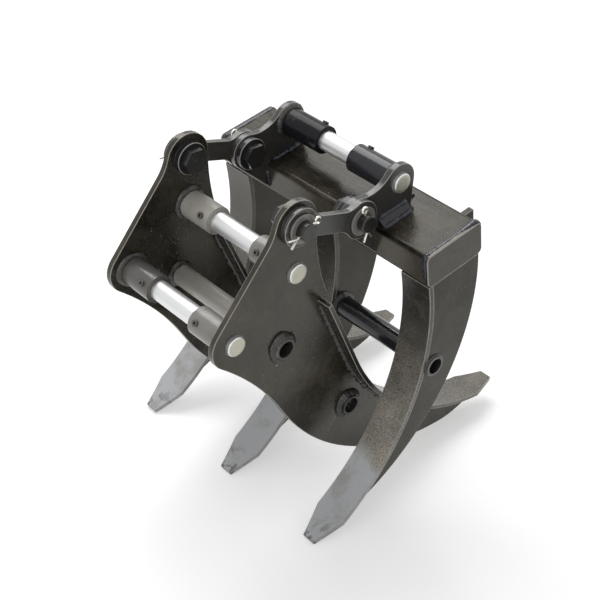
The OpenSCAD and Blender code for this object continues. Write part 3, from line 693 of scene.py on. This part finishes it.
class GRAPPLE_OT_pins(bpy.types.Operator):
    """Make the machine pins, and round and paint the hinge pins and the locking screws"""
    bl_idname = "grapple.pins"
    bl_label = "Pins and screws"

    def execute(self, context):
        for node, place, gap in (("arm_pin", ARM, DIPPER_GAP), ("brace_pin", BRACE, DIPPER_GAP),
                                 ("bucket_link_pin", LINK, LINK_GAP)):
            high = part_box(node)[1]
            end, inner = high[1] / MM, gap / 2 - BUSH_PLAY
            half = [(PIN_R, 0.0), (PIN_R, inner)]
            half += [(PIN_R - depth, inner + past) for depth, past in PIN_GROOVE]
            half += [(PIN_R - depth, end - before) for depth, before in PIN_ROUNDING]
            half += [(PIN_FACE_R, end - PIN_FACE_SUNK), (PIN_AXIS_R, end - PIN_FACE_SUNK)]
            profile = [(r, -y) for r, y in half[:0:-1]] + half
            points, faces = turned(place, profile)
            pin = add_piece("turned_" + node, points, faces, NODES[node]["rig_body"], "pin_steel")
            crease(pin, PIN_CREASE)
            pin.data.materials.append(bpy.data.materials["pin_end_steel"])
            coat_faces(pin, np.abs(of_faces(pin, "center")[:, 1]) > (end - PIN_COAT_FROM) * MM)
            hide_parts(node)
        for node in ("jaw_hinge_pins", "rake_hinge_pins", "rake_lock_screws"):
            dressed(node, ["screw_enamel", "rubbed_edge"], width=SCREW_EDGE)
        dressed("jaw_lock_screws", ["boss_screw_enamel", "boss_enamel"], width=SCREW_EDGE)
        return {"FINISHED"}


def crease(piece, degrees):
    """Edges sharper than the angle break the smooth shading."""
    bm = bmesh.new()
    bm.from_mesh(piece.data)
    limit = math.radians(degrees)
    for edge in bm.edges:
        edge.smooth = not edge.is_manifold or edge.calc_face_angle(0.0) < limit
    bm.to_mesh(piece.data)
    bm.free()


class GRAPPLE_OT_split_pins(bpy.types.Operator):
    """Bend the split pins from half-round wire"""
    bl_idname = "grapple.split_pins"
    bl_label = "Split pins"

    def execute(self, context):
        for place, name, body in ((JAW, "jaw", "lower_jaw"), (RAKE, "rake", "rake")):
            parts = [split_pin(place, SPLIT_TURNS[name], side) for side in (1, -1)]
            points, faces = joined(parts)
            wire = add_piece("bent_" + name + "_split_pins", points, faces, body, "split_wire")
            crease(wire, WIRE_CREASE)
            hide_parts(name + "_split_pins")
        return {"FINISHED"}


def split_pin(place, turn, side):
    """One split pin: a path in its own plane of a bent leg, the hole, an arc away from the middle, the eye,
    and the same way back, with a half-round profile that keeps its flat side inwards."""
    r = settings().wire / 2 / MM * 0.97
    eye, fillet, spread, leg = 3.4, 3.0, math.radians(28), 11.5
    centre = SPLIT_REACH + eye + 0.6
    start = centre - math.sqrt((eye + fillet) ** 2 - fillet ** 2)
    meet = math.atan2(-fillet, centre - start)
    bend, bend_r = -SPLIT_REACH + 1.5, 5.0

    def arc(c, radius, a, b, n):
        """Points on a circle round c, in even steps from angle a to b."""
        t = np.linspace(a, b, n)
        return np.stack([c[0] + radius * np.cos(t), c[1] + radius * np.sin(t)], -1)

    elbow = arc((bend, bend_r), bend_r, -math.pi / 2, -math.pi / 2 - spread, 7)[::-1]
    away = np.array([-math.cos(spread), math.sin(spread)])
    tip = elbow[0] + np.linspace(leg, 0.5, 6)[:, None] * away
    hole = np.stack([np.linspace(bend + 1, start - 1, 6), np.zeros(6)], -1)
    lift = arc((start, fillet), fillet, -math.pi / 2, meet, 7)
    round_eye = arc((centre, 0.0), eye, meet + math.pi, 0.0, 22)
    half = np.vstack([tip, elbow, hole, lift, round_eye[1:]])
    path = np.vstack([half, half[-2::-1] * [1, -1]])
    along = np.gradient(path, axis=0)
    along /= np.linalg.norm(along, axis=1)[:, None]
    out = np.stack([-along[:, 1], along[:, 0]], -1)
    t = np.linspace(-math.pi / 2, math.pi / 2, 9)
    section = np.stack([r * np.cos(t) + 0.03, r * np.sin(t)], -1)
    flat = path[:, None] + section[None, :, :1] * out[:, None]
    across = np.broadcast_to(section[None, :, 1], flat.shape[:2])
    angle = math.radians(turn)
    direction = np.array([math.cos(angle), math.sin(angle)])
    beside = np.array([-direction[1], direction[0]])
    flat_xz = flat[..., :1] * direction + flat[..., 1:] * beside
    sections = np.stack([place[0] + flat_xz[..., 0], side * (SPLIT_Y + across),
                         place[1] + flat_xz[..., 1]], -1) * MM
    return swept(sections, False)


class GRAPPLE_OT_weld_rings(bpy.types.Operator):
    """Lay the weld beads round the tubes and the bosses"""
    bl_idname = "grapple.weld_rings"
    bl_label = "Weld rings"

    def execute(self, context):
        rng = np.random.default_rng(settings().seed)
        leg = settings().bead
        plate = [(UPPER_TUBE, TUBE_R, PLATE_OUT, 1, 1.5), (UPPER_TUBE, TUBE_R, PLATE_IN, -1, 1.1),
                 (LOWER_TUBE, TUBE_R, PLATE_OUT, 1, 1.5), (ARM, BOSS_R, PLATE_IN, -1, 1.15),
                 (BRACE, BOSS_R, PLATE_IN, -1, 1.15)]
        tines = [(LINK, BOSS_R, PLATE_IN, -1, 1.1),
                 (RAKE_TUBE, TUBE_R, RAKE_PITCH - TINE_W / 2, -1, 1.1),
                 (RAKE_TUBE, TUBE_R, RAKE_PITCH + TINE_W / 2, 1, 0.55),
                 (RAKE_TUBE, TUBE_R, TINE_W / 2, 1, 1.3)]
        for name, body, rings in (("jaw_weld_rings", "lower_jaw", plate), ("rake_weld_rings", "rake", tines)):
            parts = []
            for place, radius, y, way, share in rings:
                for side in (1, -1):
                    path = ring_path(place, radius, side * y, side * way)
                    parts.append(bead(*path, leg * share, rng, closed=True, lumps=0.32, ripple=0.0028))
            points, faces = joined(parts)
            piece = add_piece("laid_" + name, points, faces, body, "weld_enamel")
            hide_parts(name)
        return {"FINISHED"}


def strip_back():
    """Points and outward directions of the back of a lower tine: an arc from where it leaves the nose's
    circle up to its lean, then a straight line."""
    centre, nose = np.array(JAW_ARC), np.array(NOSE)
    gap = np.linalg.norm(centre - nose)
    u = (centre - nose) / gap
    a = (gap ** 2 + NOSE_R ** 2 - JAW_ARC_R ** 2) / (2 * gap)
    end = nose + a * u - math.sqrt(NOSE_R ** 2 - a ** 2) * np.array([-u[1], u[0]])
    low = math.atan2(*(end - centre)[::-1]) % (2 * math.pi)
    high = math.radians(270 - JAW_LEAN)
    t = np.linspace(low, high, 60)
    out = np.stack([np.cos(t), np.sin(t)], -1)
    points = centre + JAW_ARC_R * out
    run = np.linspace(0.05, 0.93, 14)[:, None] * JAW_STRAIGHT
    top = points[-1] + run * np.array([-math.cos(math.radians(JAW_LEAN)), math.sin(math.radians(JAW_LEAN))])
    return np.vstack([points, top]), np.vstack([out, np.tile(out[-1], (len(run), 1))])


def cap_path(y, leg, count=260):
    """Path and directions of a low butt weld round the crossbar: a rectangle with round corners, its root
    sunk under the surface, so that only the crown of the bead stands out."""
    w, h, r = BAR_W / 2 - BAR_CORNER, BAR_H / 2 - BAR_CORNER, BAR_CORNER
    corners = [(w, h, 0), (-w, h, 90), (-w, -h, 180), (w, -h, 270)]
    outline, normals = [], []
    for x, z, start in corners:
        t = np.radians(np.linspace(start, start + 90, 12))
        n = np.stack([np.cos(t), np.sin(t)], -1)
        outline.append(np.array([x, z]) + r * n)
        normals.append(n)
    outline, normals = np.vstack(outline), np.vstack(normals)
    loop = np.vstack([outline, outline[:1]])
    run = np.concatenate([[0], np.cumsum(np.linalg.norm(np.diff(loop, axis=0), axis=1))])
    s = np.linspace(0, run[-1], count, endpoint=False)
    place = np.stack([np.interp(s, run, loop[:, k]) for k in range(2)], -1)
    turn = np.vstack([normals, normals[:1]])
    n = np.stack([np.interp(s, run, turn[:, k]) for k in range(2)], -1)
    n /= np.linalg.norm(n, axis=1)[:, None]
    place = place - 0.74 * leg * n
    path = np.array([BAR[0], y, BAR[1]]) * MM + (place[:, :1] * BAR_ALONG + place[:, 1:] * BAR_UP) * MM
    normal = n[:, :1] * BAR_ALONG + n[:, 1:] * BAR_UP
    return path, (normal + ACROSS) / math.sqrt(2), (normal - ACROSS) / math.sqrt(2)


class GRAPPLE_OT_weld_seams(bpy.types.Operator):
    """Lay the weld seams between plates, tines, ears and crossbar, with their spatter"""
    bl_idname = "grapple.weld_seams"
    bl_label = "Weld seams and spatter"

    def execute(self, context):
        rng = np.random.default_rng(settings().seed + 1)
        leg = settings().bead
        places, outs = strip_back()
        jaw_parts = []
        for side in (1, -1):
            for y, way, first in ((PLATE_OUT, 1, 18), (PLATE_IN, -1, 12)):
                path = np.insert(places[first:], 1, side * y, axis=1) * MM
                along = np.tile(side * way * ACROSS, (len(path), 1))
                down = np.insert(outs[first:], 1, 0.0, axis=1)
                jaw_parts.append(bead(path, along, down, leg * 0.8, rng, lumps=0.55, ripple=0.0030))
        points, faces = joined(jaw_parts)
        add_piece("jaw_weld_seams", points, faces, "lower_jaw", "weld_enamel")
        points, faces = joined(self.rake_seams(rng, leg))
        # The crossbar seams take the coat with the painted sky reflection.
        add_piece("rake_weld_seams", points, faces, "rake", "sky_tinted_seam_enamel")
        self.spatter(rng, places, outs)
        return {"FINISHED"}

    def rake_seams(self, rng, leg):
        """Welds on the crossbar, in its own axes: at the ears, under it at the tines, at the lugs, round the
        end caps and at the foot bars."""
        parts = []
        half_w, top = BAR_W / 2, BAR_H / 2
        for side in (1, -1):
            y = side * PLATE_IN
            inward = -side * ACROSS
            start, end = EAR_SEAM
            parts.append(seam((start, top, y), (end, top, y), inward, BAR_UP, leg, rng))
            start, end = EAR_BACK_SEAM
            parts.append(seam((-half_w, start, y), (-half_w, end, y), inward, -BAR_ALONG, leg * 0.8, rng))
        start, end = TINE_SEAM
        for middle in (-RAKE_PITCH, 0.0, RAKE_PITCH):
            for side in (1, -1):
                y = middle + side * TINE_W / 2
                if abs(y) < RAKE_PITCH:
                    parts.append(seam((start, -top, y), (end, -top, y), side * ACROSS, -BAR_UP, leg, rng,
                                      lumps=0.34, ripple=0.0030))
        start, end = LUG_SEAM
        for side in (1, -1):
            for face in (1, -1):
                y = side * LUG_Y + face * LUG_HALF
                parts.append(seam((half_w, start, y), (half_w, end, y), face * ACROSS, BAR_ALONG, leg * 0.6,
                                  rng))
        for side in (1, -1):
            path = cap_path(side * CAP_SEAM_Y, CAP_LEG)
            parts.append(bead(*path, CAP_LEG * MM, rng, closed=True, lumps=0.50, ripple=0.0034))
            y = side * PLATE_OUT
            for up, out in ((top + FOOT_SIZE, y), (top, y + side * FOOT_SIZE)):
                parts.append(seam((FOOT_BACK, up, out), (FOOT_FRONT, up, out), side * ACROSS, BAR_UP,
                                  leg * 0.8, rng, lumps=0.5, ripple=0.0032))
            end = y + side * FOOT_FRONT_SEAM
            parts.append(seam((FOOT_FRONT, top, y), (FOOT_FRONT, top, end), BAR_ALONG, BAR_UP, leg, rng,
                              lumps=0.5))
        return parts

    def spatter(self, rng, places, outs):
        """Drops of weld on the plates, thickest beside the seams."""
        parts = []

        def drops(spots, side, least, most):
            """Drops at places of the side view on the outer face of a plate, with radii in millimetres."""
            centres = np.insert(spots, 1, side * PLATE_OUT, axis=1) * MM
            radii = rng.uniform(least, most, len(spots)) * MM
            parts.append(domes(centres, (0, side, 0), radii, rng))

        for side in (1, -1):
            count = 90
            pick = rng.integers(30, len(places), count)
            reach = 5.0 + rng.exponential(9.0, count)
            drops(places[pick] + outs[pick] * reach[:, None] + rng.normal(0, 3, (count, 2)), side, 0.25, 0.85)
            for place in (UPPER_TUBE, LOWER_TUBE):
                count = 26
                angle = rng.uniform(0, 2 * math.pi, count)
                far = TUBE_R + 6 + rng.exponential(5.0, count)
                away = np.stack([np.cos(angle), np.sin(angle)], -1)
                drops(np.array(place) + far[:, None] * away, side, 0.2, 0.7)
        points, faces = joined(parts)
        add_piece("weld_spatter", points, faces, "lower_jaw", "weld_enamel")


class GRAPPLE_OT_grit(bpy.types.Operator):
    """Scatter the light specks of dust, the chips and the scratch"""
    bl_idname = "grapple.grit"
    bl_label = "Grit and scratches"

    def execute(self, context):
        rng = np.random.default_rng(settings().seed + 2)
        jaw = []
        for y, low, high, count in JAW_SPECKS:
            spots = rng.uniform(low, high, (count, 2))
            jaw.append(self.specks(spots, y, rng.uniform(0.18, 0.5, count), rng))
        line = np.linspace(*SCRATCH, SCRATCH_DOTS)
        jaw.append(self.specks(line, -PLATE_OUT, rng.uniform(0.2, 0.42, SCRATCH_DOTS), rng))
        jaw.append(self.specks(np.array(CHIPS), -PLATE_OUT, np.array(CHIP_R), rng))
        points, faces = joined(jaw)
        add_piece("jaw_grit", points, faces, "lower_jaw", "grit")
        rake = []
        for low, high, count in BAR_SPECKS:
            spots = rng.uniform(low, high, (count, 2))
            centres = bar_point(spots[:, 0], BAR_H / 2, -spots[:, 1]).T
            rake.append(domes(centres, BAR_UP, rng.uniform(0.2, 0.55, count) * MM, rng, rise=0.2))
        low, high, count = TINE_SPECKS
        spots = rng.uniform(low, high, (count, 2))
        rake.append(self.specks(spots, -(RAKE_PITCH + TINE_W / 2), rng.uniform(0.18, 0.4, count), rng))
        points, faces = joined(rake)
        add_piece("rake_grit", points, faces, "rake", "grit")
        return {"FINISHED"}

    def specks(self, spots, y, radii, rng):
        """Flat drops on the side of a plate that looks to the right."""
        return domes(np.insert(spots, 1, y, axis=1) * MM, (0, -1, 0), radii * MM, rng, rise=0.2)


class GRAPPLE_OT_stage(bpy.types.Operator):
    """Lay the floor, hang the lamps, light the world and place the camera"""
    bl_idname = "grapple.stage"
    bl_label = "Stage"

    def execute(self, context):
        scene = context.scene
        self.floor(scene)
        self.world(scene)
        for name, place, width, depth, share in LAMPS:
            self.lamp(scene, name, place, width, depth, share * settings().key)
        camera = bpy.data.objects.new("photo_camera", bpy.data.cameras.new("photo_camera"))
        camera.data.lens = LENS
        camera.data.sensor_width = SENSOR
        camera.data.clip_end = 50.0
        turn = Matrix((Vector(CAMERA_RIGHT), Vector(CAMERA_UP), -Vector(CAMERA_AIM))).transposed().to_4x4()
        camera.matrix_world = Matrix.Translation(CAMERA_PLACE) @ turn
        scene.collection.objects.link(camera)
        scene.camera = camera
        scene.view_settings.view_transform = "Standard"
        return {"FINISHED"}

    def floor(self, scene):
        """A pale floor that glows a little for the camera, so that it comes out white."""
        mesh = bpy.data.meshes.new("floor")
        corners = [(x * FLOOR_HALF, y * FLOOR_HALF, 0) for x, y in ((-1, -1), (1, -1), (1, 1), (-1, 1))]
        mesh.from_pydata(corners, [], [(0, 1, 2, 3)])
        floor = bpy.data.objects.new("floor", mesh)
        scene.collection.objects.link(floor)
        material = bpy.data.materials.new("pale_floor")
        material.use_nodes = True
        tree = material.node_tree
        tree.nodes.clear()
        grey, white = (FLOOR_GREY, FLOOR_GREY, FLOOR_GREY, 1.0), (1.0, 1.0, 1.0, 1.0)
        plain = add_node(tree, "ShaderNodeBsdfDiffuse", {"Color": grey}).outputs[0]
        none = add_node(tree, "ShaderNodeEmission", {"Strength": 0.0}).outputs[0]
        bright = add_node(tree, "ShaderNodeEmission", {"Color": white, "Strength": FLOOR_GLOW}).outputs[0]
        seen = add_node(tree, "ShaderNodeMixShader", {0: self.sight(tree), 1: none, 2: bright}).outputs[0]
        whole = add_node(tree, "ShaderNodeAddShader", {0: plain, 1: seen}).outputs[0]
        add_node(tree, "ShaderNodeOutputMaterial", {"Surface": whole})
        mesh.materials.append(material)

    def sight(self, tree):
        """1 for camera, glossy and transmission rays, else 0."""
        path = add_node(tree, "ShaderNodeLightPath").outputs
        direct = calc(tree, "MAXIMUM", path["Is Camera Ray"], path["Is Glossy Ray"])
        return calc(tree, "MAXIMUM", direct, path["Is Transmission Ray"])

    def world(self, scene):
        """White for the camera and in reflections, and dimmer as a light."""
        world = bpy.data.worlds.new("studio")
        scene.world = world
        world.use_nodes = True
        tree = world.node_tree
        background = tree.nodes["Background"]
        background.inputs["Color"].default_value = (1.0, 1.0, 1.0, 1.0)
        tree.links.new(between(tree, self.sight(tree), WORLD_FILL, 1.0), background.inputs["Strength"])

    def lamp(self, scene, name, place, width, depth, power):
        """A soft box that looks at the grapple."""
        light = bpy.data.lights.new(name, "AREA")
        light.shape = "RECTANGLE"
        light.size, light.size_y = width, depth
        light.energy = power
        lamp = bpy.data.objects.new(name, light)
        lamp.location = place
        aim = Vector(LAMP_AIM) - Vector(place)
        lamp.rotation_euler = aim.to_track_quat("-Z", "Y").to_euler()
        scene.collection.objects.link(lamp)


class GRAPPLE_PT_panel(bpy.types.Panel):
    """The settings, and a button for each step"""
    bl_idname = "GRAPPLE_PT_panel"
    bl_label = "Grapple"
    bl_space_type = "VIEW_3D"
    bl_region_type = "UI"
    bl_category = "Grapple"

    def draw(self, context):
        layout = self.layout
        for name in GrappleSettings.__annotations__:
            layout.prop(context.scene.grapple, name)
        for step in STEPS:
            layout.operator(step.bl_idname)


STEPS = (GRAPPLE_OT_finishes, GRAPPLE_OT_plates, GRAPPLE_OT_tines, GRAPPLE_OT_bar, GRAPPLE_OT_tubes,
         GRAPPLE_OT_pins, GRAPPLE_OT_split_pins, GRAPPLE_OT_weld_rings, GRAPPLE_OT_weld_seams,
         GRAPPLE_OT_grit, GRAPPLE_OT_stage)


def register():
    for cls in (GrappleSettings, *STEPS, GRAPPLE_PT_panel):
        bpy.utils.register_class(cls)
    bpy.types.Scene.grapple = PointerProperty(type=GrappleSettings)


def unregister():
    del bpy.types.Scene.grapple
    for cls in (GRAPPLE_PT_panel, *reversed(STEPS), GrappleSettings):
        bpy.utils.unregister_class(cls)


def main():
    register()
    bpy.ops.grapple.finishes()
    bpy.ops.grapple.plates()
    bpy.ops.grapple.tines()
    bpy.ops.grapple.bar()
    bpy.ops.grapple.tubes()
    bpy.ops.grapple.pins()
    bpy.ops.grapple.split_pins()
    bpy.ops.grapple.weld_rings()
    bpy.ops.grapple.weld_seams()
    bpy.ops.grapple.grit()
    bpy.ops.grapple.stage()


if __name__ == "__main__":
    main()
